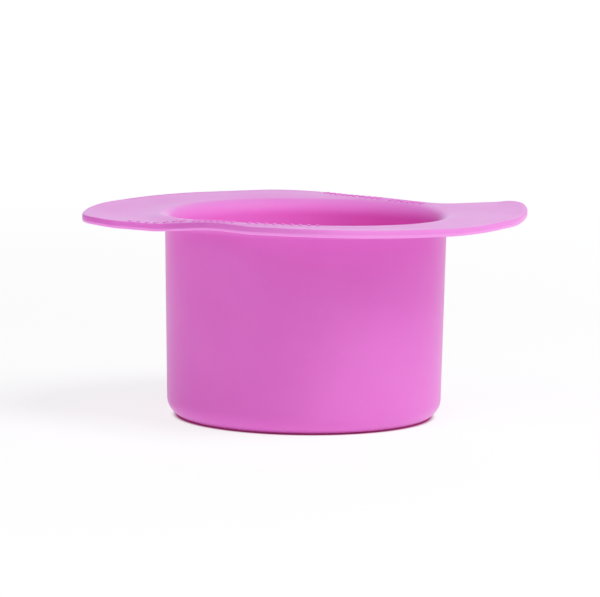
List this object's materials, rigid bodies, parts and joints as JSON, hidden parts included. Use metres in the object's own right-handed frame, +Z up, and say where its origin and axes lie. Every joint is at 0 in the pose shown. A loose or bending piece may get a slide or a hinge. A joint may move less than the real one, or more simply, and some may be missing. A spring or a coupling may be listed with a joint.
{
  "type": "wax warmer pot",
  "caption": "Moulded silicone pot that drops into a hair-removal wax warmer, with a rounded lip and a thin flange spread into grip wings for lifting it out.",
  "frame": {"origin": "centre of the flat base, on the surface the pot stands on, on the bowl's axis", "axes": "+Z up along the bowl's axis, +X from the left grip wing to the right grip wing, +Y away from the viewer"},
  "size_m": [0.1654, 0.1538, 0.0775],
  "materials": {
    "silicone": "satin moulded silicone, orchid pink, slightly translucent"
  },
  "bodies": {
    "root": {"pot_floor": "silicone", "pot_wall": "silicone", "rolled_lip": "silicone", "rim_ring": "silicone", "left_grip_wing": "silicone", "right_grip_wing": "silicone", "left_rim_ribs": "silicone", "right_rim_ribs": "silicone"}
  },
  "joints": []
}
